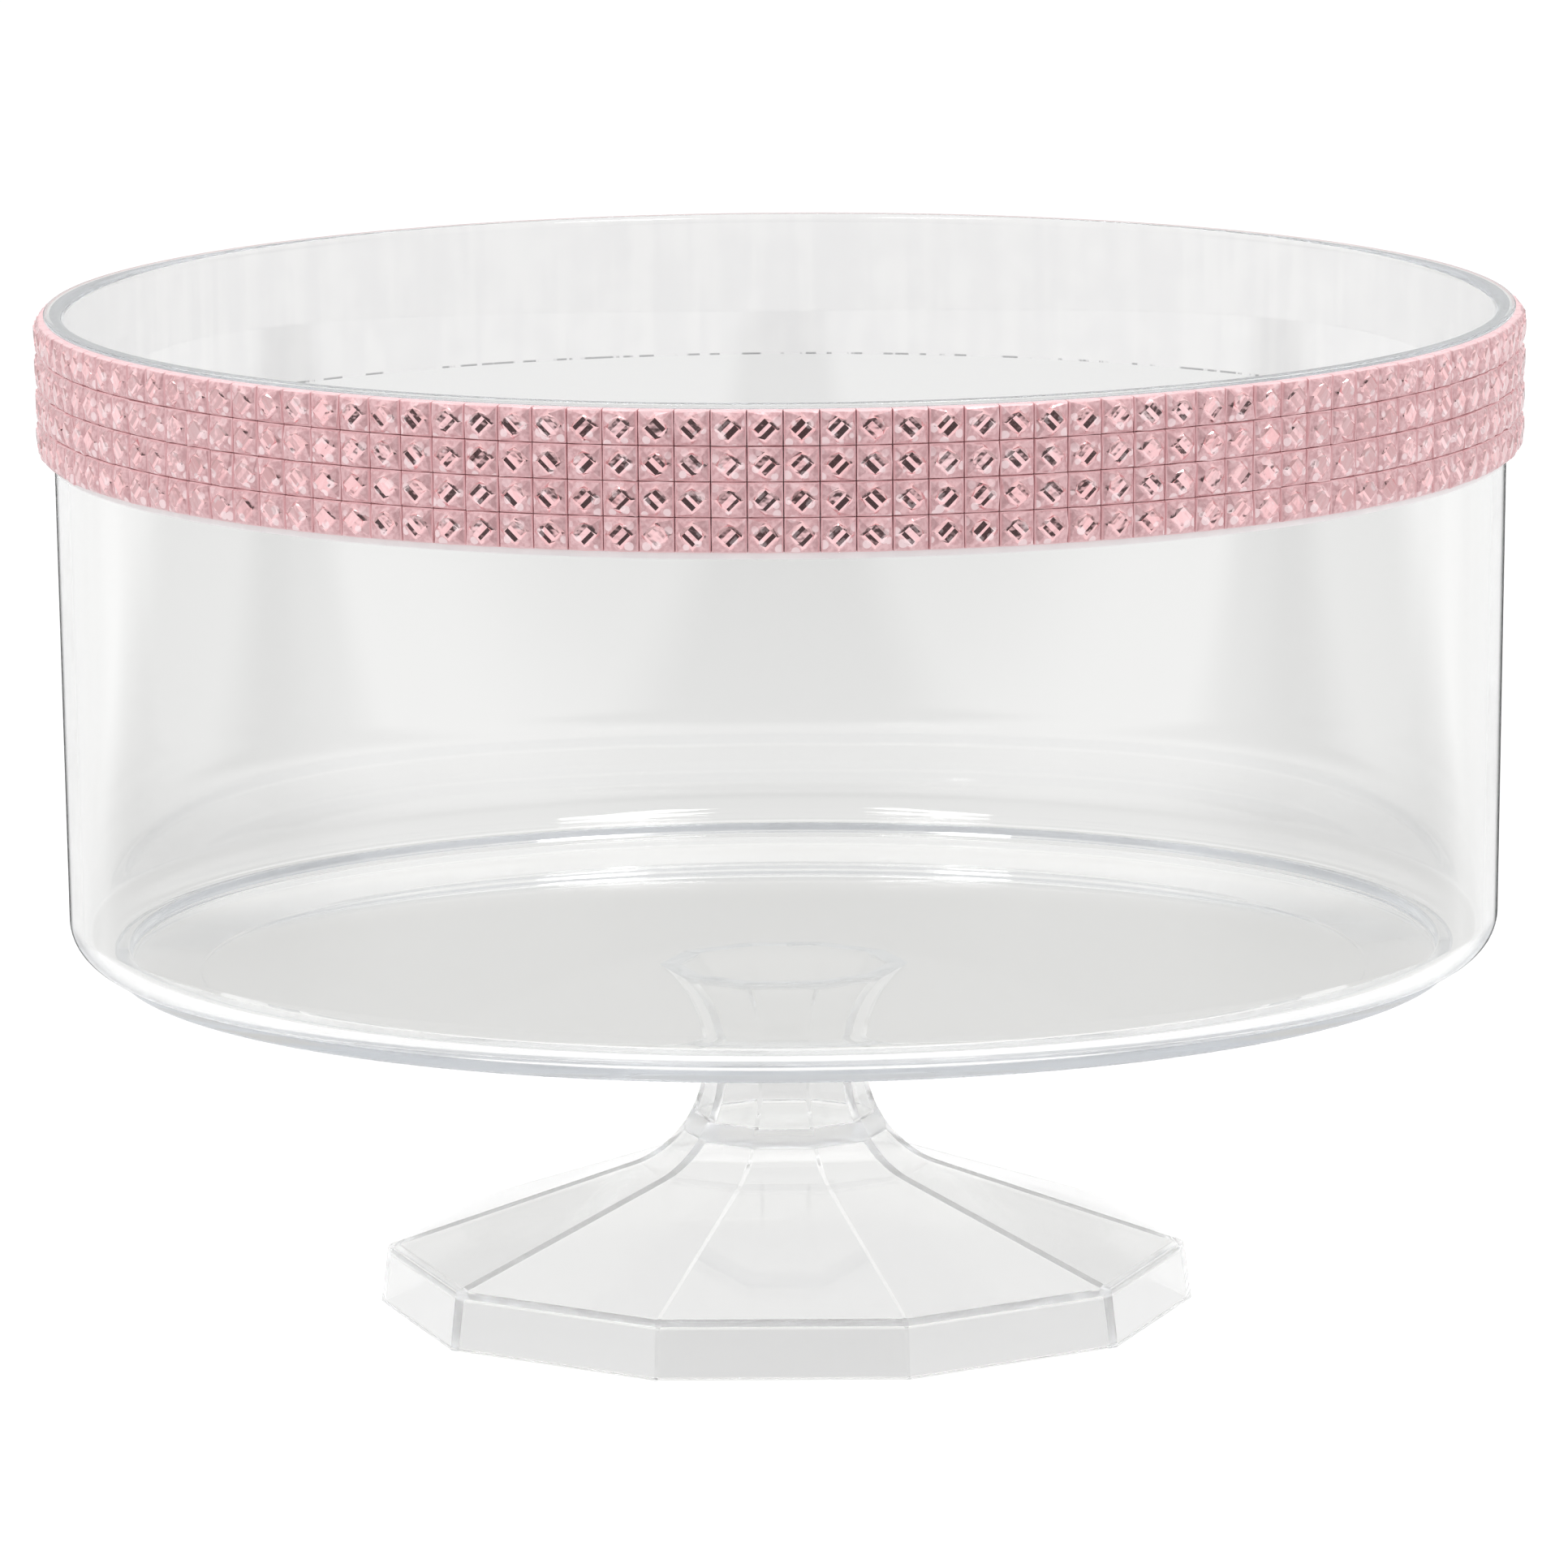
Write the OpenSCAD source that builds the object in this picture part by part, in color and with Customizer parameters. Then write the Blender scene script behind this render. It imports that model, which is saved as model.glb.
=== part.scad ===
// Clear plastic trifle bowl bonded to a ten-sided hollow pedestal,
// with a band of square faceted stones on a strip below the rim.
// +Z is up, the origin is the middle of the pedestal's bottom, and the front faces -Y.

/* [Bowl] */
// Outer diameter of the wall under the rim bead
mouth_d = 211.2; // [170:0.2:260]
// Height of the bowl from its seat on the pedestal to the rim
bowl_h = 98.7; // [80:0.1:130]
// Thickness of the wall
wall_t = 1.9; // [1.5:0.1:2.6]
// How much the wall narrows on its radius from rim to corner
wall_draft = 1.5; // [0.5:0.1:3]
// Thickness of the floor
floor_t = 2; // [1.6:0.1:2.6]
// How far the level middle of the floor lies below the ledge round its edge
floor_dip = 4.2; // [2.4:0.1:6]
// Width of the slope between the base's step and the level middle of the floor
floor_slope_w = 10.3; // [6:0.1:20]
// Radius of the rounded corner outside
corner_r = 5.9; // [4.5:0.1:8]
// Radius of the fillet inside, between ledge and wall
fillet_r = 4; // [3:0.1:6]

/* [Bowl rim and base] */
// How far the rim bead stands out from the wall
bead_out = 1; // [0.7:0.05:1.4]
// Height of the rim bead
bead_h = 0.65; // [0.5:0.05:0.9]
// Height of the upright step between the ledge and the base
base_drop = 1.9; // [0.8:0.1:2.4]
// Thickness of the wall at the step
base_wall = 2.2; // [1.6:0.1:3.2]
// How far the base stands in from the rounded corner
base_step = 0.7; // [0.2:0.05:1.2]

/* [Pedestal] */
// Width of the foot across its corners, at the table
foot_d = 118.9; // [90:0.1:150]
// Height of the skirt round the foot
skirt_h = 8.6; // [6:0.1:12]
// How much the skirt leans in on its radius
skirt_lean = 1.1; // [0.4:0.1:2.5]
// Rise of the sloping panels, from the skirt to the stem
panel_rise = 12.4; // [9:0.1:16]
// Width across the corners where the panels meet the stem
crease_d = 43.8; // [38:0.1:50]
// Rise of the stem, from the panels to its narrowest place
waist_rise = 15; // [13:0.1:20]
// Width of the stem across its corners at the narrowest place
neck_d = 23.8; // [20:0.1:28]
// Rise of the stem, from its narrowest place to the bowl's seat
flare_rise = 12.7; // [11:0.1:18]
// Width of the stem's top across its corners
seat_d = 36.2; // [32:0.1:42]
// Thickness of the pedestal's walls
shell_t = 2; // [1.5:0.1:2.4]
// Thickness of the web that closes the stem
web_t = 2.5; // [1.5:0.1:4]
// Height of the web's underside above the foot of the stem
web_rise = 4; // [2.5:0.1:6]
// Edge break round the top of the skirt
skirt_edge = 0.5; // [0.3:0.05:1]

/* [Stone band] */
// Rows of stones
stone_rows = 4; // [4:1:4]
// Distance from one stone to the next
stone_pitch = 4.97; // [4.4:0.01:5.4]
// Gap between neighbouring stones
stone_gap = 0.14; // [0.08:0.02:0.3]
// Height of a stone from its flat back to its girdle
girdle_h = 1.1; // [0.8:0.05:1.4]
// Height of a stone's crown above its girdle
crown_h = 0.95; // [0.6:0.05:1.2]
// Thickness of the backing strip
strip_t = 0.4; // [0.3:0.05:0.6]
// How far the strip shows below the lowest stones
strip_margin = 1; // [0.4:0.1:2]
// Bond line between the wall and the strip, and between rim bead and strip
bond_gap = 0.05; // [0.02:0.01:0.1]
// Angle from the front to the nearest joint between stones
band_turn = 0.87; // [0:0.01:2.68]

/* [Hidden] */
$fn = 96;

// The pedestal is a regular decagon at every height
sides = 10;

// Counts of steps along curved stretches
corner_steps = 8;
bead_steps = 6;
stem_steps = 8;

// Heights along the pedestal
crease_z = skirt_h + panel_rise;
neck_z = crease_z + waist_rise;
seat_z = neck_z + flare_rise;
web_z = crease_z + web_rise;

// Heights along the bowl
rim_z = seat_z + bowl_h;
edge_under_z = seat_z + floor_dip;
edge_top_z = edge_under_z + floor_t;
corner_z = edge_under_z + corner_r;
bead_z = rim_z - bead_h;

// The wall leans out evenly from the corner to the rim bead
mouth_r = mouth_d / 2;
draft_slope = wall_draft / (bead_z - corner_z);
draft_angle = atan(draft_slope);
function wall_out_r(z) = mouth_r - (bead_z - z) * draft_slope;
function wall_in_r(z) = wall_out_r(z) - wall_t;

// Centres of the rounded corner and of the fillet inside it
corner_c_r = wall_out_r(corner_z) - corner_r / cos(draft_angle);
fillet_z = edge_top_z + fillet_r;
fillet_c_r = wall_in_r(fillet_z) - fillet_r / cos(draft_angle);

// The base stands in under the corner, and its floor slopes down to the level middle
base_out_r = corner_c_r - base_step;
base_in_r = base_out_r - base_wall;
base_z = edge_under_z - base_drop;
base_top_z = edge_top_z - base_drop;
floor_flat_r = base_in_r - floor_slope_w;

// Band of stones on its strip
strip_top_z = bead_z - bond_gap;
strip_bottom_z = strip_top_z - stone_rows * stone_pitch - strip_margin;
function strip_in_r(z) = wall_out_r(z) + bond_gap;
function strip_out_r(z) = strip_in_r(z) + strip_t;
stones_round = floor(2 * PI * strip_out_r(strip_top_z) / stone_pitch);
stone_turn = 360 / stones_round;

// Shares of a stone's half width: its girdle, and the corners of its diamond table
girdle_share = 0.96;
table_share = 0.72;

// Points on an arc about c, from angle a to angle b
function arc(c, r, a, b, steps) =
    [for (i = [0:steps]) let (t = a + (b - a) * i / steps) c + r * [cos(t), sin(t)]];

function reversed(list) = [for (i = [len(list) - 1:-1:0]) list[i]];

// Half section of the bowl
function bowl_profile() = concat(
    [[0, seat_z], [floor_flat_r, seat_z], [base_out_r, base_z], [base_out_r, edge_under_z]],
    arc([corner_c_r, corner_z], corner_r, 270, 360 - draft_angle, corner_steps),
    [[mouth_r, bead_z]],
    arc([mouth_r + bead_out - bead_h / 2, rim_z - bead_h / 2], bead_h / 2, -90, 90, bead_steps),
    arc([wall_in_r(rim_z) + bead_h / 2, rim_z - bead_h / 2], bead_h / 2, 90, 180, bead_steps),
    reversed(arc([fillet_c_r, fillet_z], fillet_r, 270, 360 - draft_angle, corner_steps)),
    [[base_in_r, edge_top_z], [base_in_r, base_top_z]],
    [[floor_flat_r, seat_z + floor_t], [0, seat_z + floor_t]]
);

module bowl() {
    color([0.92, 0.94, 0.94, 0.35])
        rotate_extrude() polygon(bowl_profile());
}

// Corner radii of the pedestal, from the foot up
foot_r = foot_d / 2;
skirt_top_r = foot_r - skirt_lean;
crease_r = crease_d / 2;
neck_r = neck_d / 2;
seat_r = seat_d / 2;
panel_slope = panel_rise / (skirt_top_r - crease_r);

// The stem is two arcs that meet upright at the neck, and each arc's radius
// follows from how far it rises and how far it spreads
function arc_r(rise, spread) = (rise * rise + spread * spread) / (2 * spread);
waist_arc_r = arc_r(waist_rise, crease_r - neck_r);
flare_arc_r = arc_r(flare_rise, seat_r - neck_r);
waist_c = [neck_r + waist_arc_r, neck_z];
flare_c = [neck_r + flare_arc_r, neck_z];
crease_angle = 180 + asin(waist_rise / waist_arc_r);

// Angle on the waist's arc, drawn with radius r, at the height z
function waist_angle(r, z) = 180 + asin((neck_z - z) / r);

// Inner faces lie one wall behind the outer ones
waist_in_r = waist_arc_r + shell_t;
flare_in_r = flare_arc_r + shell_t;
panel_drop = shell_t * sqrt(1 + pow(panel_slope, 2));

// First steps past the neck, where the two arcs share a point
flare_step = asin(flare_rise / flare_in_r) / stem_steps;
waist_step = (crease_angle - 180) / stem_steps;

// Half section of the pedestal: up the funnel, down the outside, and up the cavity under the foot
function pedestal_profile() = concat(
    arc(waist_c, waist_in_r, waist_angle(waist_in_r, web_z + web_t), 180, stem_steps),
    arc(flare_c, flare_in_r, 180 - flare_step, 180 - asin(flare_rise / flare_in_r), stem_steps - 1),
    arc(flare_c, flare_arc_r, 180 - asin(flare_rise / flare_arc_r), 180, stem_steps),
    arc(waist_c, waist_arc_r, 180 + waist_step, crease_angle, stem_steps - 1),
    [
        [skirt_top_r - skirt_edge, skirt_h + skirt_edge * panel_slope],
        [skirt_top_r, skirt_h - skirt_edge],
        [foot_r, 0],
        [foot_r - shell_t, 0],
        [skirt_top_r - shell_t, skirt_h + shell_t * panel_slope - panel_drop]
    ],
    arc(waist_c, waist_in_r, crease_angle, waist_angle(waist_in_r, web_z), stem_steps)
);

// A solid between decagons that follow a path of [corner radius, height] points, closed at both ends
module decagon_loft(path) {
    rings = len(path);
    function at(ring, corner) = ring * sides + corner % sides;
    polyhedron(
        points = [
            for (p = path, k = [0:sides - 1])
                let (t = (k - 1 / 2) * 360 / sides - 90)
                    [p[0] * cos(t), p[0] * sin(t), p[1]]
        ],
        faces = concat(
            [[for (k = [0:sides - 1]) at(0, k)]],
            [
                for (i = [0:rings - 2], k = [0:sides - 1])
                    [at(i, k), at(i + 1, k), at(i + 1, k + 1), at(i, k + 1)]
            ],
            [[for (k = [sides - 1:-1:0]) at(rings - 1, k)]]
        )
    );
}

module pedestal() {
    color([0.9, 0.91, 0.91, 0.35])
        decagon_loft(pedestal_profile());
}

module band_backing() {
    color([0.93, 0.9, 0.9])
        rotate_extrude()
            polygon([
                [strip_in_r(strip_bottom_z), strip_bottom_z],
                [strip_out_r(strip_bottom_z), strip_bottom_z],
                [strip_out_r(strip_top_z), strip_top_z],
                [strip_in_r(strip_top_z), strip_top_z]
            ]);
}

// One stone: flat back, upright sides to the girdle, and a crown of eight facets round a diamond table
module stone(width, height) {
    u = width / 2;
    v = height / 2;
    g = girdle_share;
    t = table_share;
    top = girdle_h + crown_h;
    polyhedron(
        points = [
            [-u, -v, 0], [u, -v, 0], [u, v, 0], [-u, v, 0],
            [-u * g, -v * g, girdle_h], [u * g, -v * g, girdle_h], [u * g, v * g, girdle_h], [-u * g, v * g, girdle_h],
            [0, -v * t, top], [u * t, 0, top], [0, v * t, top], [-u * t, 0, top]
        ],
        faces = [
            [0, 1, 2, 3],
            [0, 4, 5, 1], [1, 5, 6, 2], [2, 6, 7, 3], [3, 7, 4, 0],
            [4, 8, 5], [5, 9, 6], [6, 10, 7], [7, 11, 4],
            [5, 8, 9], [6, 9, 10], [7, 10, 11], [4, 11, 8],
            [8, 11, 10, 9]
        ]
    );
}

// A row of stones round the strip, counted from the rim down
module gem_row(row) {
    mid_z = strip_top_z - (row - 1 / 2) * stone_pitch;
    low_z = mid_z - stone_pitch / 2;
    width = 2 * strip_out_r(low_z) * tan(stone_turn / 2) - stone_gap;
    color([0.86, 0.66, 0.68])
        for (i = [0:stones_round - 1])
            rotate([0, 0, band_turn + (i + 1 / 2) * stone_turn - 90])
                translate([strip_out_r(mid_z), 0, mid_z])
                    rotate([0, 90 + draft_angle, 0])
                        rotate([0, 0, 90])
                            stone(width, stone_pitch - stone_gap);
}

bowl();
pedestal();
band_backing();
gem_row(1);  // gem_row_1
gem_row(2);  // gem_row_2
gem_row(3);  // gem_row_3
gem_row(4);  // gem_row_4
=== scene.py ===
import math
import random

import bmesh
import bpy
from mathutils import Matrix, Vector


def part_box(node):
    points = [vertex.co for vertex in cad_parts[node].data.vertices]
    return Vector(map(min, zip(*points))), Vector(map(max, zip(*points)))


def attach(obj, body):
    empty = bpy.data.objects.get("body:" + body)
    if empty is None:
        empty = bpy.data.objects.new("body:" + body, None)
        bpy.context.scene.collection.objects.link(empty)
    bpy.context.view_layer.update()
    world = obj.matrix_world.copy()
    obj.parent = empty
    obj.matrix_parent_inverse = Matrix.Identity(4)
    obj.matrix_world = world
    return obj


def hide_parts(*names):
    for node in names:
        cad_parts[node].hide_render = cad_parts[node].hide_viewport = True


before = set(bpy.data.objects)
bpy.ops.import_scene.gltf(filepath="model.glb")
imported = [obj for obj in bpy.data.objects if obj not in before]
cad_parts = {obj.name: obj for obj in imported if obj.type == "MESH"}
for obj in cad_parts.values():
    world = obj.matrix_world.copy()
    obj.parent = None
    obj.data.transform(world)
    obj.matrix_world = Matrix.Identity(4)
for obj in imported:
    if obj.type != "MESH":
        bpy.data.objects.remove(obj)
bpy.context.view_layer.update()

# A clear trifle bowl on a ten-sided pedestal, with four rows of pink stones on a pale strip
# below its rim. Nothing on it moves, so every piece rides the one body.
BODY = "root"

# Lengths are in metres, and MM turns the construction's millimetres into them
MM = 0.001

# Places and outer radii come from the frame, and the other sizes repeat the construction's
FOOT_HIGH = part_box("pedestal")[1]
BOWL_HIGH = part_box("bowl")[1]
STRIP_LOW, STRIP_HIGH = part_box("band_backing")
SEAT_Z = FOOT_HIGH.z
FOOT_R = FOOT_HIGH.x
RIM_Z = BOWL_HIGH.z
RIM_R = BOWL_HIGH.x

# Bowl: bead, drafted wall, rounded corner, and a floor that slopes up to a ledge at its edge
BEAD_OUT = 1.0 * MM
BEAD_H = 0.65 * MM
WALL_T = 1.9 * MM
WALL_DRAFT = 1.5 * MM
CORNER_R = 5.9 * MM
FILLET_R = 4.0 * MM
FLOOR_T = 2.0 * MM
FLOOR_DIP = 4.2 * MM
FLOOR_SLOPE_W = 10.3 * MM
BASE_DROP = 1.9 * MM
BASE_WALL = 2.2 * MM
BASE_STEP = 0.7 * MM

# Radii of the bowl's other edges, in the order that bowl_path meets them
SLOPE_UNDER_R = 2.0 * MM
BASE_EDGE_R = 0.35 * MM
BASE_NOOK_R = 0.15 * MM
OUTER_CORNER_R = 0.99 * CORNER_R
BEAD_NOOK_R = 0.1 * MM
BEAD_EDGE_R = 0.25 * MM
LIP_R = 1.2 * MM
LEDGE_R = 0.4 * MM
SLOPE_TOP_R = 0.8 * MM

# Heights and radii of the bowl that follow from these
BEAD_Z = RIM_Z - BEAD_H
MOUTH_R = RIM_R - BEAD_OUT
UNDER_Z = SEAT_Z + FLOOR_DIP
TOP_Z = UNDER_Z + FLOOR_T
CORNER_Z = UNDER_Z + CORNER_R
WALL_SLOPE = WALL_DRAFT / (BEAD_Z - CORNER_Z)

# Pedestal: skirt, sloping panels, waist and flare, with a web across its stem
SIDES = 10
SKIRT_H = 8.6 * MM
SKIRT_LEAN = 1.1 * MM
PANEL_RISE = 12.4 * MM
CREASE_R = 21.9 * MM
WAIST_RISE = 15.0 * MM
NECK_R = 11.9 * MM
FLARE_RISE = 12.7 * MM
SEAT_R = 18.1 * MM
SHELL_T = 2.0 * MM
WEB_T = 2.5 * MM
WEB_RISE = 4.0 * MM
PANEL_EDGE_R = 0.35 * MM
SKIRT_EDGE_R = 0.8 * MM
FOOT_EDGE_R = 0.3 * MM

# Band: a thin strip round the wall, and stones on it in rows
ROWS = 4
STONE_PITCH = 4.97 * MM
STONE_GAP = 0.05 * MM
STRIP_T = 0.4 * MM
BOND_GAP = 0.05 * MM
BAND_Z = BEAD_Z - BOND_GAP
BAND_TURN = math.radians(0.87)

# A stone stands upright to its girdle, and its crown narrows to a diamond-shaped table. Each
# ring gives its half width at the middle of a side and at a corner, and its height in the
# crown, as shares.
GIRDLE_H = 1.1 * MM
CROWN_H = 0.95 * MM
STONE_RINGS = (
    (1.0, 0.98, 0.0),
    (0.93, 0.91, 0.30),
    (0.70, 0.47, 0.72),
)
RING_X = (1, 1, 0, -1, -1, -1, 0, 1)
RING_Y = (0, 1, 1, 1, 0, -1, -1, -1)
TABLE_SHARE = 0.60
# Two cuts, each somewhere in its range, part the table into three slats with edges this deep
TABLE_CUTS = ((0.25, 0.42), (0.58, 0.78))
SLAT_DEPTHS = (0.0, -0.02 * MM, -0.14 * MM, -0.12 * MM)
# How much one stone differs from the next: lean, shift and lift of its corners, depth of slats
STONE_LEAN = 0.025
CORNER_SHIFT = 0.035
CORNER_LIFT = 0.03
SLAT_WOBBLE = 0.012 * MM
STONE_SEED = 7

# A rounded corner takes at most this share of the way to the next corner
CORNER_ROOM = 0.96
# How finely round shapes are drawn
TURN_STEPS = 384
BOWL_STEPS = 12
WAIST_STEPS = 20
FOOT_STEPS = 6
PANEL_EDGE_STEPS = 4
FLOOR_STEPS = 96

# Clear plastic: faint haze, flow waves by scale and height, and patches of more or less wear
BOWL_PLASTIC = {
    "tint": (0.986, 0.986, 0.981, 1),
    "haze": 0.02,
    "roughness": 0.01,
    "wave_scale": 25.0,
    "wave_height": 0.000008,
}
FOOT_PLASTIC = {
    "tint": (0.99, 0.99, 0.986, 1),
    "haze": 0.085,
    "roughness": 0.07,
    "wave_scale": 60.0,
    "wave_height": 0.00003,
}
PLASTIC_IOR = 1.5
WEAR_SCALE = 45.0
WEAR_EDGE = (0.35, 0.75)
WEAR_ROUGH = (0.5, 1.5)
LAMP_SHARE = (0.97, 0.97, 0.97, 1)
# Where a path turns this often between the faces of a clear piece, the piece shows a painted glow
# in this tone
TRAPPED_PATH = (8.0, 12.0)
PAINTED_GLOW_TONE = (0.60, 0.63, 0.67, 1)

# Stone: a mirror-like table, a softer mottled surround, pale round spots that are painted
# highlights, and pale valleys.
# A pair is a range over which one turns into the next, or two values at its ends.
TABLE_DEEP = (0.88, 0.51, 0.525, 1)
TABLE_PALE = (0.95, 0.66, 0.68, 1)
TABLE_EDGE = (0.70, 0.95)
TABLE_EDGE_WAVER = 0.5
SURROUND_DEEP = (0.66, 0.385, 0.405, 1)
SURROUND_PALE = (0.82, 0.53, 0.55, 1)
STONE_ROUGH = (0.1, 0.3)
STONE_METAL = (0.95, 0.25)
STONE_MOTTLE_SCALE = 1400.0
STONE_MOTTLE_EDGE = (0.35, 0.65)
RIPPLE_SCALE = 900.0
RIPPLE_H = 0.00007
# Painted highlights: pale, less metallic round spots, mostly low on each stone
HIGHLIGHT_SPOT_PINK = (0.95, 0.73, 0.75, 1)
SPOT_SCALE = 480.0
SPOT_SPREAD = 0.8
SPOT_EDGE = (0.29, 0.35)
SPOT_REACH = (0.30, 0.42)
SPOT_HEIGHT = (0.1, 0.7)
SPOT_STRENGTH = (1.0, 0.4)
SPOT_METAL = 0.2
VALLEY_PINK = (0.87, 0.58, 0.60, 1)
VALLEY_REACH = (0.88, 0.97)

# Strip: fine upright streaks, a soft mottle, and dark dashes on its lower inner edge
STRIP_PALE = (0.99, 0.985, 0.985, 1)
STRIP_DULL = (0.945, 0.94, 0.945, 1)
STRIP_TONES = (0.38, 0.62)
STRIP_ROUGH = (0.35, 0.55)
STRIP_RELIEF = 0.00001
STREAK_STRETCH = (1, 1, 0.06)
STREAK_SCALE = 420.0
STREAK_SHARE = 0.6
STRIP_MOTTLE_SCALE = 160.0
STRIP_MOTTLE_EDGE = (0.3, 0.7)
DASH_GREY = (0.42, 0.42, 0.43, 1)
DASH_H = (0.15 * MM, 0.40 * MM)
DASH_BREAKS = (0.46, 0.54)
DASH_IN = 1.5 * STRIP_T

# Brightness of the table to each kind of ray, nearer and farther where it is a pair, with the
# y over which near turns into far
FLOOR_R = 30
FLOOR_ALBEDO = 0.25
FLOOR_CAMERA = 0.80
FLOOR_SCATTER = 0.8
# Painted shade: through clear pieces the table glows dimmer near the object than farther back
FLOOR_THROUGH_SHADED = (0.45, 0.57)
THROUGH_Y = (0.38, 0.50)
FLOOR_ROOM = (1.1, 1.15)
ROOM_Y = (0.45, 1.0)
FLOOR_PAINTED_DARK = 0.04
# Zones of painted shade, where the table glows darker to reflections only, standing in for a
# studio table beyond its lamps. Each pair is a range of |x|, of -y or of |y - WING_Y|, over which
# a zone starts or ends.
WING_X = (0.22, 0.42)
WING_LENGTH = (0.12, 0.30)
WING_Y = 0.05
WING_OUTER = 0.35
FRONT_Y = (0.34, 0.52)
FRONT_X = (0.3, 0.6)
FRONT_OUTER_Y = (0.34, 0.70)
# The flanks, painted dark lines at each side of the wall in reflections, fan out behind the
# object. Their pairs are slopes, (|x| - FLANK_START) / y.
FLANK_START = 0.105
FLANK_RISE = (0.0, 0.015)
FLANK_FADE = (0.14, 0.28)
FLANK_REST = 0.2
FLANK_END = (0.7, 1.3)
FLANK_Y = (0.15, 0.22)
FLANK_LEAST_Y = 0.01
SHORT_PATH = 3.5

# Brightness of the room, by how far up a ray goes where it is a pair, and a dark front
SKY_THROUGH = 0.80
SKY_SCATTER = 0.88
SKY_RISE = (0.28, 0.50)
SKY_ROOM = (0.60, 1.05)
SKY_FRONT = 0.06
SKY_FRONT_Y = (-0.95, -0.72)
SKY_FRONT_Z = (0.2, 0.42)
ROOM_TINT = (1.0, 1.0, 0.985, 1)

# Lamps: name, place, width, height, watts, and whether gloss and clear pieces mirror it
LAMP_AIM = (0, 0, 0.1)
LAMPS = (
    ("key", (-1.1, -0.6, 1.3), 0.8, 0.8, 6.5, False),
    ("fill", (1.3, -0.3, 0.9), 0.5, 0.9, 3.5, False),
    ("top_left", (-0.31, -0.05, 1.5), 0.6, 0.11, 2.2, True),
    ("top_right", (0.31, -0.05, 1.5), 0.6, 0.17, 3.4, True),
)
BOUNCES = 32
GLOSSY_BOUNCES = 16

# Camera, as fitted to the photograph
CAMERA_DISTANCE = 1.9313
CAMERA_HEIGHT = 0.40093
CAMERA_SIDE = 0.00018
CAMERA_PITCH = math.radians(9.528)
CAMERA_ROLL = math.radians(-0.402)
CAMERA_AZIMUTH = math.radians(0.65)
SENSOR_WIDTH = 36.0
IMAGE_WIDTH = 1932
FOCAL_PIXELS = 16552


def make_camera():
    """The photograph's camera: pitched and rolled, then turned about the object."""
    data = bpy.data.cameras.new("camera")
    data.sensor_width = SENSOR_WIDTH
    data.lens = FOCAL_PIXELS / IMAGE_WIDTH * SENSOR_WIDTH
    camera = bpy.data.objects.new("camera", data)
    bpy.context.scene.collection.objects.link(camera)
    turn = Matrix.Rotation(CAMERA_AZIMUTH, 4, "Z")
    place = Matrix.Translation((CAMERA_SIDE, -CAMERA_DISTANCE, CAMERA_HEIGHT))
    tilt = Matrix.Rotation(math.pi / 2 - CAMERA_PITCH, 4, "X")
    roll = Matrix.Rotation(CAMERA_ROLL, 4, "Z")
    camera.matrix_world = turn @ place @ tilt @ roll
    bpy.context.scene.camera = camera


# Outlines


def arc(centre, radius, start, end, steps):
    """Points on an arc from one angle to another, in degrees."""
    points = []
    for i in range(steps + 1):
        t = math.radians(start + (end - start) * i / steps)
        points.append((centre[0] + radius * math.cos(t), centre[1] + radius * math.sin(t)))
    return points


def arc_radius(rise, spread):
    """The radius of an arc that starts upright and spreads this far over this rise."""
    return (rise * rise + spread * spread) / (2 * spread)


def angle_below(drop, radius):
    """Where an arc to the left of its centre is this far below it, or above, in degrees."""
    return 180 + math.degrees(math.asin(drop / radius))


def rounded(path, steps):
    """A path of (r, z, radius) corners with each corner rounded to its radius."""
    points = []
    for i, (r, z, radius) in enumerate(path):
        here = Vector((r, z))
        if radius == 0:
            points.append((r, z))
            continue
        before = Vector(path[i - 1][:2])
        after = Vector(path[i + 1][:2])
        to_before = (before - here).normalized()
        to_after = (after - here).normalized()
        half = to_before.angle(to_after) / 2
        room = CORNER_ROOM * min((before - here).length, (after - here).length)
        reach = min(radius / math.tan(half), room)
        radius = reach * math.tan(half)
        centre = here + (to_before + to_after).normalized() * (radius / math.sin(half))
        first = here + to_before * reach - centre
        last = here + to_after * reach - centre
        sweep = first.angle_signed(last)
        for k in range(steps + 1):
            spoke = first.copy()
            spoke.rotate(Matrix.Rotation(-sweep * k / steps, 2))
            points.append(tuple(centre + spoke))
    return points


def wall_r(z):
    """The wall's outer radius at a height, by its draft."""
    return MOUTH_R - (BEAD_Z - z) * WALL_SLOPE


def strip_r(z):
    """The strip's outer radius at a height, where the stones are bonded."""
    return wall_r(z) + BOND_GAP + STRIP_T


def bowl_path():
    """The bowl's section: out along its underside, up the wall and back along the inside."""
    base_out = wall_r(CORNER_Z) - CORNER_R - BASE_STEP
    base_in = base_out - BASE_WALL
    flat = base_in - FLOOR_SLOPE_W
    return rounded(
        [
            (0, SEAT_Z, 0),
            (flat, SEAT_Z, SLOPE_UNDER_R),
            (base_out, UNDER_Z - BASE_DROP, BASE_EDGE_R),
            (base_out, UNDER_Z, BASE_NOOK_R),
            (wall_r(UNDER_Z), UNDER_Z, OUTER_CORNER_R),
            (MOUTH_R, BEAD_Z, BEAD_NOOK_R),
            (RIM_R, BEAD_Z, BEAD_EDGE_R),
            (RIM_R, RIM_Z, BEAD_EDGE_R),
            (MOUTH_R - WALL_T, RIM_Z, LIP_R),
            (wall_r(TOP_Z) - WALL_T, TOP_Z, FILLET_R),
            (base_in, TOP_Z, LEDGE_R),
            (base_in, TOP_Z - BASE_DROP, SLOPE_TOP_R),
            (flat, SEAT_Z + FLOOR_T, SLOPE_TOP_R),
            (0, SEAT_Z + FLOOR_T, 0),
        ],
        BOWL_STEPS,
    )


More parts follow.
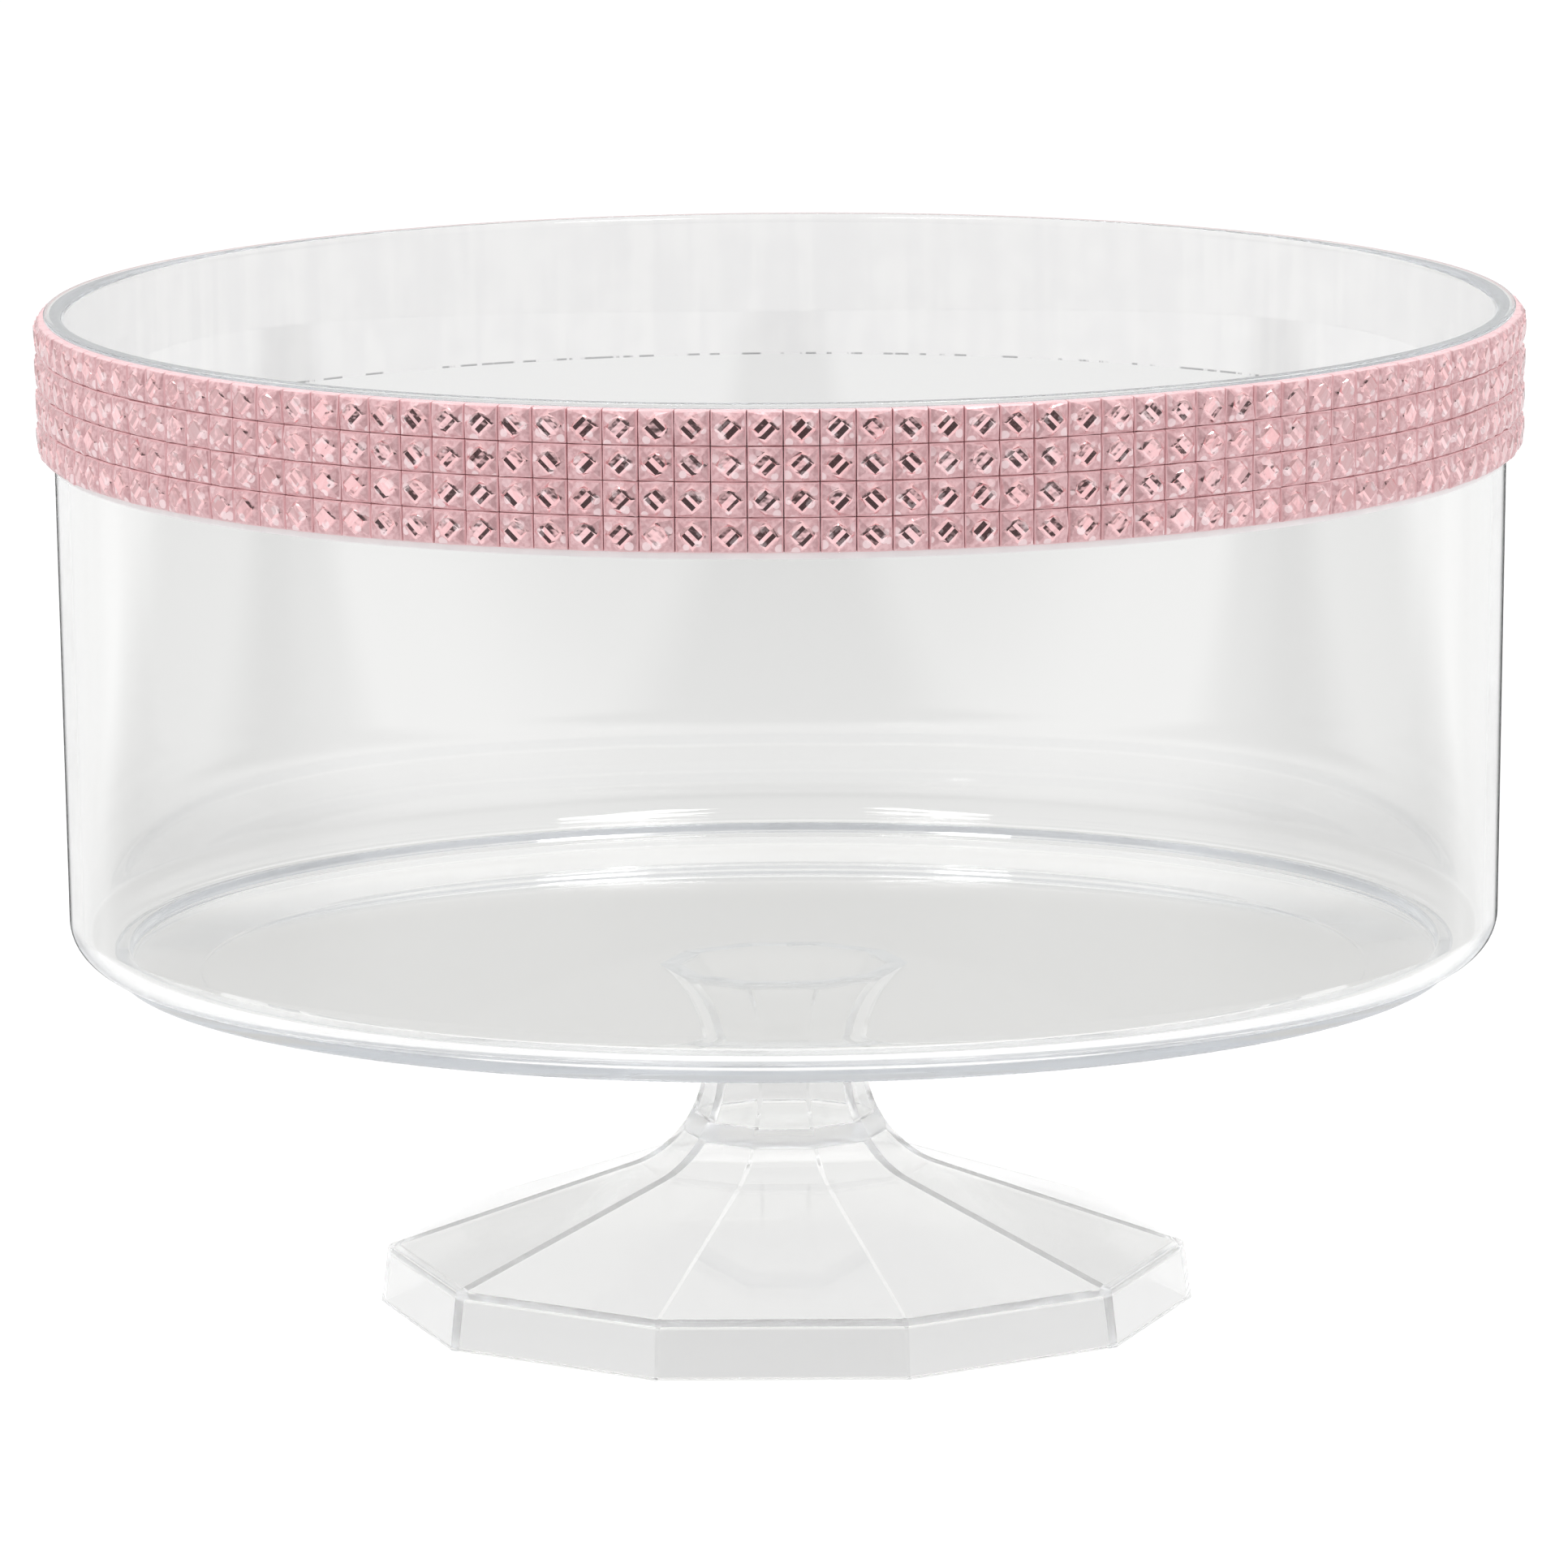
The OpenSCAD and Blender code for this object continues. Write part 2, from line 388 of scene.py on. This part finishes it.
def pedestal_path():
    """The pedestal's section: up its funnel, down the outside and up the cavity to the web."""
    crease_z = SKIRT_H + PANEL_RISE
    neck_z = crease_z + WAIST_RISE
    web_drop = neck_z - (crease_z + WEB_RISE)
    waist = arc_radius(WAIST_RISE, CREASE_R - NECK_R)
    flare = arc_radius(FLARE_RISE, SEAT_R - NECK_R)
    waist_in = waist + SHELL_T
    flare_in = flare + SHELL_T
    waist_c = (NECK_R + waist, neck_z)
    flare_c = (NECK_R + flare, neck_z)
    web_top = angle_below(web_drop - WEB_T, waist_in)
    web_under = angle_below(web_drop, waist_in)
    seat_in = angle_below(-FLARE_RISE, flare_in)
    seat_out = angle_below(-FLARE_RISE, flare)
    crease = angle_below(WAIST_RISE, waist)
    funnel = arc(waist_c, waist_in, web_top, 180, WAIST_STEPS)
    funnel += arc(flare_c, flare_in, 180, seat_in, WAIST_STEPS)[1:]
    outside = arc(flare_c, flare, seat_out, 180, WAIST_STEPS)
    outside += arc(waist_c, waist, 180, crease, WAIST_STEPS)[1:]
    cavity = arc(waist_c, waist_in, crease, web_under, WAIST_STEPS)
    skirt_top = FOOT_R - SKIRT_LEAN
    slope = PANEL_RISE / (skirt_top - CREASE_R)
    panel_t = SHELL_T * math.hypot(1, slope)
    foot = rounded(
        [
            (*outside[-1], 0),
            (skirt_top, SKIRT_H, SKIRT_EDGE_R),
            (FOOT_R, 0, FOOT_EDGE_R),
            (FOOT_R - SHELL_T, 0, FOOT_EDGE_R),
            (skirt_top - SHELL_T, SKIRT_H + SHELL_T * slope - panel_t, SKIRT_EDGE_R),
            (*cavity[0], 0),
        ],
        FOOT_STEPS,
    )
    return funnel + outside[:-1] + foot[:-1] + cavity


def circle(r, z):
    """Points round a circle."""
    turns = [2 * math.pi * k / TURN_STEPS for k in range(TURN_STEPS)]
    return [(r * math.cos(t), r * math.sin(t), z) for t in turns]


def decagon(corner_r, z):
    """Points round a regular decagon with rounded corners, one flat facing the front."""
    side = 2 * math.pi / SIDES
    centre_r = corner_r - PANEL_EDGE_R / math.cos(side / 2)
    points = []
    for k in range(SIDES):
        middle = (k - 0.5) * side - math.pi / 2
        for i in range(PANEL_EDGE_STEPS + 1):
            t = middle + (i / PANEL_EDGE_STEPS - 0.5) * side
            x = centre_r * math.cos(middle) + PANEL_EDGE_R * math.cos(t)
            y = centre_r * math.sin(middle) + PANEL_EDGE_R * math.sin(t)
            points.append((x, y, z))
    return points


# Meshes


def new_object(name, bm):
    """The mesh in bm as an object in the scene."""
    mesh = bpy.data.meshes.new(name)
    bm.to_mesh(mesh)
    bm.free()
    piece = bpy.data.objects.new(name, mesh)
    bpy.context.scene.collection.objects.link(piece)
    return piece


def closed_object(name, bm, smooth):
    """A closed mesh as an object, with its normals turned outwards."""
    for face in bm.faces:
        face.smooth = smooth
    bmesh.ops.recalc_face_normals(bm, faces=bm.faces)
    return new_object(name, bm)


def add_ring(bm, points):
    return [bm.verts.new(point) for point in points]


def bridge(bm, rings):
    """Faces from each ring of corners to the next. A ring of one corner is a point."""
    for a, b in zip(rings, rings[1:]):
        count = max(len(a), len(b))
        for k in range(count):
            n = (k + 1) % count
            if len(a) == 1:
                bm.faces.new((a[0], b[n], b[k]))
            elif len(b) == 1:
                bm.faces.new((a[k], a[n], b[0]))
            else:
                bm.faces.new((a[k], a[n], b[n], b[k]))


def lathe(name, path):
    """A closed solid of revolution. The path starts and ends on the axis."""
    bm = bmesh.new()
    bridge(bm, [add_ring(bm, circle(r, z) if r else [(0, 0, z)]) for r, z in path])
    return closed_object(name, bm, smooth=True)


def strip_mesh(name):
    """The strip behind the stones: a thin ring that follows the wall's draft."""
    low, high = STRIP_LOW.z, BAND_Z
    section = (
        (wall_r(low) + BOND_GAP, low),
        (strip_r(low), low),
        (strip_r(high), high),
        (wall_r(high) + BOND_GAP, high),
    )
    bm = bmesh.new()
    rings = [add_ring(bm, circle(r, z)) for r, z in section]
    bridge(bm, rings + rings[:1])
    return closed_object(name, bm, smooth=False)


def pedestal_mesh(name):
    """The pedestal: decagons up its section, with flat panels between softened edges."""
    bm = bmesh.new()
    rings = [add_ring(bm, decagon(r, z)) for r, z in pedestal_path()]
    bridge(bm, rings)
    bm.faces.new(rings[0])
    bm.faces.new(rings[-1])
    piece = closed_object(name, bm, smooth=True)
    flatten = piece.modifiers.new("flat_panels", "WEIGHTED_NORMAL")
    flatten.mode = "FACE_AREA"
    return piece


# Stones


def stone_frame(row, index, count):
    """Where a stone sits: x along the band, y up the wall and z out of it."""
    mid_z = BAND_Z - (row - 0.5) * STONE_PITCH
    turn = BAND_TURN + (index + 0.5) * 2 * math.pi / count
    out = Matrix.Translation((0, -strip_r(mid_z), mid_z))
    upright = Matrix.Rotation(math.pi / 2 + math.atan(WALL_SLOPE), 4, "X")
    return Matrix.Rotation(turn, 4, "Z") @ out @ upright


def stone_ring(half_w, half_h, side_share, corner_share, z):
    """Eight corners round a stone: the middle of each side and the corner after it."""
    points = []
    for k in range(8):
        share = corner_share if k % 2 else side_share
        points.append(Vector((RING_X[k] * half_w * share, RING_Y[k] * half_h * share, z)))
    return points


def stone_rings(half_w, half_h, rng):
    """A stone's rings from its foot up, uneven above the girdle."""
    rings = [stone_ring(half_w, half_h, 1, 1, 0)]
    for side, corner, height in STONE_RINGS:
        ring = stone_ring(half_w, half_h, side, corner, GIRDLE_H + CROWN_H * height)
        if height:
            for point in ring:
                point.x += rng.gauss(0, CORNER_SHIFT) * half_w
                point.y += rng.gauss(0, CORNER_SHIFT) * half_h
                point.z += rng.gauss(0, CORNER_LIFT) * CROWN_H
        rings.append(ring)
    return rings


def table_edges(half_w, half_h, rng):
    """The diamond table's upper left and lower right edges, each with the slats' four corners."""
    table_z = GIRDLE_H + CROWN_H
    right = Vector((TABLE_SHARE * half_w, 0, table_z))
    top = Vector((0, TABLE_SHARE * half_h, table_z))
    left = Vector((-right.x, 0, table_z))
    bottom = Vector((0, -top.y, table_z))
    cuts = [rng.uniform(*span) for span in TABLE_CUTS]
    upper = [top.lerp(left, t) for t in (0, *cuts, 1)]
    lower = [right.lerp(bottom, t) for t in (0, *cuts, 1)]
    for above, below, depth in zip(upper, lower, SLAT_DEPTHS):
        depth += rng.gauss(0, SLAT_WOBBLE)
        above.z += depth
        below.z += depth
    return upper, lower


def stone_faces(bm, rings, upper, lower):
    """A stone's foot, sides, crown and table, all but the foot in triangles."""
    corners = [rings[0]]
    for a, b in zip(rings, rings[1:]):
        for k in range(8):
            n = (k + 1) % 8
            corners += [(a[k], a[n], b[n]), (a[k], b[n], b[k])]
    # From the last ring to the table's corners
    r = rings[-1]
    corners += [
        (r[0], r[1], lower[0]), (r[1], upper[0], lower[0]), (r[1], r[2], upper[0]),
        (r[2], r[3], upper[0]), (r[3], upper[1], upper[0]), (r[3], upper[2], upper[1]),
        (r[3], r[4], upper[2]), (r[4], upper[3], upper[2]),
        (r[4], r[5], upper[3]), (r[5], lower[3], upper[3]), (r[5], r[6], lower[3]),
        (r[6], r[7], lower[3]), (r[7], lower[2], lower[3]), (r[7], lower[1], lower[2]),
        (r[7], r[0], lower[1]), (r[0], lower[0], lower[1]),
    ]
    for i in range(3):
        corners += [(upper[i], upper[i + 1], lower[i + 1]), (upper[i], lower[i + 1], lower[i])]
    return [bm.faces.new(face) for face in corners]


def add_stone(bm, tone, cell, place, half_w, half_h, flip, rng):
    """One stone, mirrored where flip is -1, with a tone on each face and its own x and y, as
    shares of its half widths, on each corner."""
    lean_x = Matrix.Rotation(rng.gauss(0, STONE_LEAN), 4, "X")
    lean_y = Matrix.Rotation(rng.gauss(0, STONE_LEAN), 4, "Y")
    up = Matrix.Translation((0, 0, GIRDLE_H))
    down = Matrix.Translation((0, 0, -GIRDLE_H))
    body = place @ Matrix.Diagonal((flip, 1, 1, 1))
    crown = body @ up @ (lean_x @ lean_y) @ down

    def add_corners(points, pose):
        corners = add_ring(bm, [pose @ point for point in points])
        for corner, point in zip(corners, points):
            corner[cell] = (flip * point.x / half_w, point.y / half_h, 0)
        return corners

    foot, girdle, *crown_rings = stone_rings(half_w, half_h, rng)
    upper, lower = table_edges(half_w, half_h, rng)
    rings = [add_corners(ring, body) for ring in (foot, girdle)]
    rings += [add_corners(ring, crown) for ring in crown_rings]
    faces = stone_faces(bm, rings, add_corners(upper, crown), add_corners(lower, crown))
    own_tone = rng.random()
    for face in faces:
        face[tone] = (own_tone + rng.random()) / 2


def stone_row(row, rng):
    """One row of stones round the band, numbered from the rim down."""
    count = int(2 * math.pi * strip_r(BAND_Z) / STONE_PITCH)
    low_z = BAND_Z - row * STONE_PITCH
    half_w = strip_r(low_z) * math.tan(math.pi / count) - STONE_GAP / 2
    half_h = (STONE_PITCH - STONE_GAP) / 2
    bm = bmesh.new()
    tone = bm.faces.layers.float.new("tone")
    cell = bm.verts.layers.float_vector.new("cell")
    for index in range(count):
        flip = 1 if (index // 2) % 2 else -1
        add_stone(bm, tone, cell, stone_frame(row, index, count), half_w, half_h, flip, rng)
    return closed_object("stones_row_%d" % row, bm, smooth=False)


# Nodes


def new_material(name):
    material = bpy.data.materials.new(name)
    material.use_nodes = True
    tree = material.node_tree
    tree.nodes.clear()
    return material, tree


def add(tree, kind, inputs=None, **values):
    """A node with its properties set, and each input set to a value or linked to an output."""
    node = tree.nodes.new(kind)
    for key, value in values.items():
        setattr(node, key, value)
    for key, value in (inputs or {}).items():
        socket = node.inputs[key]
        if isinstance(value, bpy.types.NodeSocket):
            tree.links.new(value, socket)
        else:
            socket.default_value = value
    return node


def math_node(tree, operation, *values):
    """The result of one Math node."""
    return add(tree, "ShaderNodeMath", dict(enumerate(values)), operation=operation).outputs[0]


def product(tree, first, *others):
    for value in others:
        first = math_node(tree, "MULTIPLY", first, value)
    return first


def ramp(tree, value, low, high, low_out=0.0, high_out=1.0):
    """A smooth step from one value to another."""
    ends = {"From Min": low, "From Max": high, "To Min": low_out, "To Max": high_out}
    step = {"interpolation_type": "SMOOTHSTEP"}
    return add(tree, "ShaderNodeMapRange", {"Value": value, **ends}, **step).outputs[0]


def mix_values(tree, share, first, second):
    return add(tree, "ShaderNodeMix", {0: share, 2: first, 3: second}).outputs[0]


def mix_colours(tree, share, first, second):
    inputs = {0: share, 6: first, 7: second}
    return add(tree, "ShaderNodeMix", inputs, data_type="RGBA").outputs[2]


def mix_shaders(tree, share, first, second):
    return add(tree, "ShaderNodeMixShader", {0: share, 1: first, 2: second}).outputs[0]


def split(tree, vector):
    """The x, y and z of a vector."""
    return add(tree, "ShaderNodeSeparateXYZ", {0: vector}).outputs


def noise(tree, place, scale, detail):
    inputs = {"Vector": place, "Scale": scale, "Detail": detail}
    return add(tree, "ShaderNodeTexNoise", inputs).outputs["Fac"]


def relief(tree, height, depth):
    """A bumped normal, this deep in metres."""
    inputs = {"Height": height, "Strength": 1.0, "Distance": depth}
    return add(tree, "ShaderNodeBump", inputs).outputs[0]


def own_place(tree):
    """Where a point is on its object, in metres."""
    return add(tree, "ShaderNodeTexCoord").outputs["Object"]


def principled(tree, inputs):
    return add(tree, "ShaderNodeBsdfPrincipled", inputs).outputs[0]


def glow(tree, strength, colour=(1, 1, 1, 1)):
    return add(tree, "ShaderNodeEmission", {"Color": colour, "Strength": strength}).outputs[0]


def finish_material(tree, surface):
    add(tree, "ShaderNodeOutputMaterial", {"Surface": surface})


# Materials


def let_light_through(tree, surface):
    """Lamps and scattered light cross a clear piece straight, and on long paths in it the piece
    shows a painted glow.
    """
    path = add(tree, "ShaderNodeLightPath").outputs
    straight = math_node(tree, "MAXIMUM", path["Is Shadow Ray"], path["Is Diffuse Ray"])
    through = add(tree, "ShaderNodeBsdfTransparent", {"Color": LAMP_SHARE}).outputs[0]
    # Painted glow: after TRAPPED_PATH turns, a path ends in a glow of a set tone instead of going
    # dark
    painted_glow_share = ramp(tree, path["Ray Depth"], *TRAPPED_PATH)
    surface = mix_shaders(tree, painted_glow_share, surface, glow(tree, 1.0, PAINTED_GLOW_TONE))
    return mix_shaders(tree, straight, surface, through)


def clear_plastic(name, tint, haze, roughness, wave_scale, wave_height):
    """Clear moulded plastic: a little haze, faint flow waves and worn patches."""
    material, tree = new_material(name)
    place = own_place(tree)
    wear = noise(tree, place, WEAR_SCALE, detail=4.0)
    rough = [roughness * share for share in WEAR_ROUGH]
    body = principled(
        tree,
        {
            "Base Color": tint,
            "Roughness": ramp(tree, wear, *WEAR_EDGE, *rough),
            "IOR": PLASTIC_IOR,
            "Transmission Weight": 1 - haze,
            "Normal": relief(tree, noise(tree, place, wave_scale, detail=2.0), wave_height),
        },
    )
    finish_material(tree, let_light_through(tree, body))
    material.cycles.emission_sampling = "NONE"
    return material


def painted_highlight_spots(tree, place, off_centre, height):
    """Painted highlights: pale round spots off the table, fewer towards the top of a stone."""
    inputs = {"Vector": place, "Scale": SPOT_SCALE, "Randomness": SPOT_SPREAD}
    discs = add(tree, "ShaderNodeTexVoronoi", inputs).outputs["Distance"]
    return product(
        tree,
        ramp(tree, discs, *SPOT_EDGE, 1.0, 0.0),
        ramp(tree, off_centre, *SPOT_REACH),
        ramp(tree, height, *SPOT_HEIGHT, *SPOT_STRENGTH),
    )


def stone_pink(name):
    """Foiled pink plastic: a mirror-like table in a softer surround, with spots of painted
    highlight and pale valleys.
    """
    material, tree = new_material(name)
    place = own_place(tree)
    tone = add(tree, "ShaderNodeAttribute", attribute_name="tone").outputs["Fac"]
    cell = split(tree, add(tree, "ShaderNodeAttribute", attribute_name="cell").outputs["Vector"])
    sides = [math_node(tree, "ABSOLUTE", cell[axis]) for axis in range(2)]
    off_centre = math_node(tree, "ADD", *sides)
    mottle = noise(tree, place, STONE_MOTTLE_SCALE, detail=2.0)
    edge = math_node(tree, "SUBTRACT", off_centre, TABLE_EDGE_WAVER / 2)
    edge = math_node(tree, "MULTIPLY_ADD", mottle, TABLE_EDGE_WAVER, edge)
    surround = ramp(tree, edge, *TABLE_EDGE)
    spots = painted_highlight_spots(tree, place, off_centre, cell[1])
    valley = ramp(tree, math_node(tree, "MAXIMUM", *sides), *VALLEY_REACH)
    table = mix_colours(tree, tone, TABLE_DEEP, TABLE_PALE)
    soft = ramp(tree, mottle, *STONE_MOTTLE_EDGE)
    soft = mix_colours(tree, soft, SURROUND_DEEP, SURROUND_PALE)
    colour = mix_colours(tree, surround, table, soft)
    # Painted highlights: the spots are paler and less metallic than the rest of the stone
    colour = mix_colours(tree, spots, colour, HIGHLIGHT_SPOT_PINK)
    colour = mix_colours(tree, valley, colour, VALLEY_PINK)
    metal = ramp(tree, surround, 0.0, 1.0, *STONE_METAL)
    metal = math_node(tree, "SUBTRACT", metal, product(tree, spots, SPOT_METAL))
    body = principled(
        tree,
        {
            "Base Color": colour,
            "Roughness": ramp(tree, surround, 0.0, 1.0, *STONE_ROUGH),
            "Metallic": product(tree, metal, ramp(tree, valley, 0.0, 1.0, 1.0, 0.0)),
            "Normal": relief(tree, noise(tree, place, RIPPLE_SCALE, detail=1.0), RIPPLE_H),
        },
    )
    finish_material(tree, body)
    return material


def strip_dashes(tree, place, streaks):
    """Dark dashes low on the strip's inner face, broken up by its streaks."""
    height = split(tree, place)[2]
    low = [STRIP_LOW.z + rise for rise in DASH_H]
    level = add(tree, "ShaderNodeVectorMath", {0: place, 1: (1, 1, 0)}, operation="MULTIPLY")
    radius = add(tree, "ShaderNodeVectorMath", {0: level.outputs[0]}, operation="LENGTH")
    return product(
        tree,
        ramp(tree, height, *low, 1.0, 0.0),
        ramp(tree, streaks, *DASH_BREAKS),
        math_node(tree, "LESS_THAN", radius.outputs["Value"], STRIP_HIGH.x - DASH_IN),
    )


def strip_white(name):
    """Pale adhesive strip: fine upright streaks, a soft mottle and a dashed lower edge."""
    material, tree = new_material(name)
    place = own_place(tree)
    upright = add(tree, "ShaderNodeMapping", {"Vector": place, "Scale": STREAK_STRETCH})
    streaks = noise(tree, upright.outputs[0], STREAK_SCALE, detail=3.0)
    mottle = noise(tree, place, STRIP_MOTTLE_SCALE, detail=3.0)
    mixed = product(tree, streaks, STREAK_SHARE)
    mixed = math_node(tree, "MULTIPLY_ADD", mottle, 1 - STREAK_SHARE, mixed)
    colour = mix_colours(tree, ramp(tree, mixed, *STRIP_TONES), STRIP_DULL, STRIP_PALE)
    colour = mix_colours(tree, strip_dashes(tree, place, streaks), colour, DASH_GREY)
    body = principled(
        tree,
        {
            "Base Color": colour,
            "Roughness": ramp(tree, mottle, *STRIP_MOTTLE_EDGE, *STRIP_ROUGH),
            "Normal": relief(tree, mixed, STRIP_RELIEF),
        },
    )
    finish_material(tree, body)
    return material


# Studio


def ray_kinds(tree):
    """Camera rays, rays straight through clear pieces, and rays that met a reflection."""
    path = add(tree, "ShaderNodeLightPath").outputs
    mirrored = math_node(tree, "GREATER_THAN", path["Glossy Depth"], 0.5)
    mirrored = product(tree, path["Is Transmission Ray"], mirrored)
    straight = math_node(tree, "SUBTRACT", path["Is Transmission Ray"], mirrored)
    room = math_node(tree, "MAXIMUM", path["Is Glossy Ray"], mirrored)
    return path["Is Camera Ray"], straight, room


def painted_dark_zones(tree, x, y):
    """How dark the table's painted shade is in a reflection, from 0 to 1.

    Faces behind others mirror the wings and the front, and outer faces mirror a weaker form
    of both. On short paths the flanks paint a dark line, a painted reflection, at each side of
    the wall.
    """
    path = add(tree, "ShaderNodeLightPath").outputs
    is_outer = math_node(tree, "LESS_THAN", path["Transmission Depth"], 0.5)
    is_short = math_node(tree, "LESS_THAN", path["Ray Depth"], SHORT_PATH)
    aside = math_node(tree, "ABSOLUTE", x)
    ahead = product(tree, y, -1.0)
    along = math_node(tree, "ABSOLUTE", math_node(tree, "SUBTRACT", y, WING_Y))
    wings = product(tree, ramp(tree, aside, *WING_X), ramp(tree, along, *WING_LENGTH, 1.0, 0.0))
    front = product(tree, ramp(tree, ahead, *FRONT_Y), ramp(tree, aside, *FRONT_X, 1.0, 0.0))
    front_outer = ramp(tree, ahead, *FRONT_OUTER_Y)
    inner = math_node(tree, "MAXIMUM", wings, front)
    outer = math_node(tree, "MAXIMUM", front_outer, product(tree, wings, WING_OUTER))
    behind = math_node(tree, "MAXIMUM", y, FLANK_LEAST_Y)
    slope = math_node(tree, "DIVIDE", math_node(tree, "SUBTRACT", aside, FLANK_START), behind)
    flanks = product(
        tree,
        is_short,
        ramp(tree, y, *FLANK_Y),
        ramp(tree, slope, *FLANK_RISE),
        ramp(tree, slope, *FLANK_FADE, 1.0, FLANK_REST),
        ramp(tree, slope, *FLANK_END, 1.0, 0.0),
    )
    return math_node(tree, "MAXIMUM", mix_values(tree, is_outer, inner, outer), flanks)


def floor_white(name):
    """White to the camera, with the object's shadow, and a studio table to other rays."""
    material, tree = new_material(name)
    x, y = split(tree, add(tree, "ShaderNodeNewGeometry").outputs["Position"])[:2]
    matt = {"Color": (FLOOR_ALBEDO,) * 3 + (1,)}
    shaded = add(tree, "ShaderNodeBsdfDiffuse", matt).outputs[0]

    def lit(level):
        return add(tree, "ShaderNodeAddShader", {0: shaded, 1: glow(tree, level)}).outputs[0]

    camera, straight, room = ray_kinds(tree)
    open_room = ramp(tree, y, *ROOM_Y, *FLOOR_ROOM)
    # Painted shade: reflections see the table darker in the wing, front and flank zones
    room_level = mix_values(tree, painted_dark_zones(tree, x, y), open_room, FLOOR_PAINTED_DARK)
    seen = mix_shaders(tree, room, glow(tree, FLOOR_SCATTER), glow(tree, room_level))
    # Painted shade: rays straight through clear pieces see the table dimmer near the object
    seen = mix_shaders(tree, straight, seen, lit(ramp(tree, y, *THROUGH_Y, *FLOOR_THROUGH_SHADED)))
    seen = mix_shaders(tree, camera, seen, lit(FLOOR_CAMERA))
    finish_material(tree, seen)
    material.cycles.emission_sampling = "NONE"
    return material


def make_floor():
    bm = bmesh.new()
    bmesh.ops.create_circle(bm, cap_ends=True, segments=FLOOR_STEPS, radius=FLOOR_R)
    floor = new_object("floor", bm)
    floor.data.materials.append(floor_white("floor_white"))


def studio_world():
    """White behind the object, with a plain studio room in the reflections."""
    world = bpy.data.worlds.new("studio")
    bpy.context.scene.world = world
    world.use_nodes = True
    world.cycles.sampling_method = "NONE"
    tree = world.node_tree
    tree.nodes.clear()
    camera, straight, room = ray_kinds(tree)
    way = split(tree, add(tree, "ShaderNodeTexCoord").outputs["Generated"])
    front_y = ramp(tree, way[1], *SKY_FRONT_Y, 1.0, 0.0)
    front_z = ramp(tree, way[2], *SKY_FRONT_Z, 1.0, 0.0)
    room_level = ramp(tree, way[2], *SKY_RISE, *SKY_ROOM)
    room_level = mix_values(tree, product(tree, front_y, front_z), room_level, SKY_FRONT)
    level = mix_values(tree, room, SKY_SCATTER, room_level)
    level = mix_values(tree, straight, level, SKY_THROUGH)
    level = mix_values(tree, camera, level, 1.0)
    colour = mix_colours(tree, room, (1, 1, 1, 1), ROOM_TINT)
    sky = add(tree, "ShaderNodeBackground", {"Color": colour, "Strength": level})
    add(tree, "ShaderNodeOutputWorld", {"Surface": sky.outputs[0]})


def softbox(name, place, width, height, power, shown):
    """An oblong lamp aimed at the object. Where it isn't shown, nothing mirrors it."""
    light = bpy.data.lights.new(name, "AREA")
    light.shape = "RECTANGLE"
    light.size = width
    light.size_y = height
    light.energy = power
    lamp = bpy.data.objects.new(name, light)
    bpy.context.scene.collection.objects.link(lamp)
    aim = (Vector(LAMP_AIM) - Vector(place)).to_track_quat("-Z", "Y")
    lamp.matrix_world = Matrix.Translation(place) @ aim.to_matrix().to_4x4()
    lamp.visible_camera = False
    lamp.visible_glossy = shown
    lamp.visible_transmission = shown


make_camera()
scene = bpy.context.scene
scene.view_settings.view_transform = "Standard"
scene.cycles.max_bounces = BOUNCES
scene.cycles.transmission_bounces = BOUNCES
scene.cycles.transparent_max_bounces = BOUNCES
scene.cycles.glossy_bounces = GLOSSY_BOUNCES
scene.cycles.caustics_reflective = False
scene.cycles.caustics_refractive = False

bowl = lathe("bowl_shell", bowl_path())
bowl.data.materials.append(clear_plastic("bowl_clear", **BOWL_PLASTIC))
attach(bowl, BODY)
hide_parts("bowl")

foot = pedestal_mesh("pedestal_shell")
foot.data.materials.append(clear_plastic("pedestal_clear", **FOOT_PLASTIC))
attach(foot, BODY)
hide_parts("pedestal")

stone_material = stone_pink("stone_pink")
rng = random.Random(STONE_SEED)
for row in range(1, ROWS + 1):
    stones = stone_row(row, rng)
    stones.data.materials.append(stone_material)
    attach(stones, BODY)
    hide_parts("gem_row_%d" % row)

strip = strip_mesh("strip_ring")
strip.data.materials.append(strip_white("strip_white"))
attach(strip, BODY)
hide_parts("band_backing")

make_floor()
studio_world()
for lamp in LAMPS:
    softbox(*lamp)
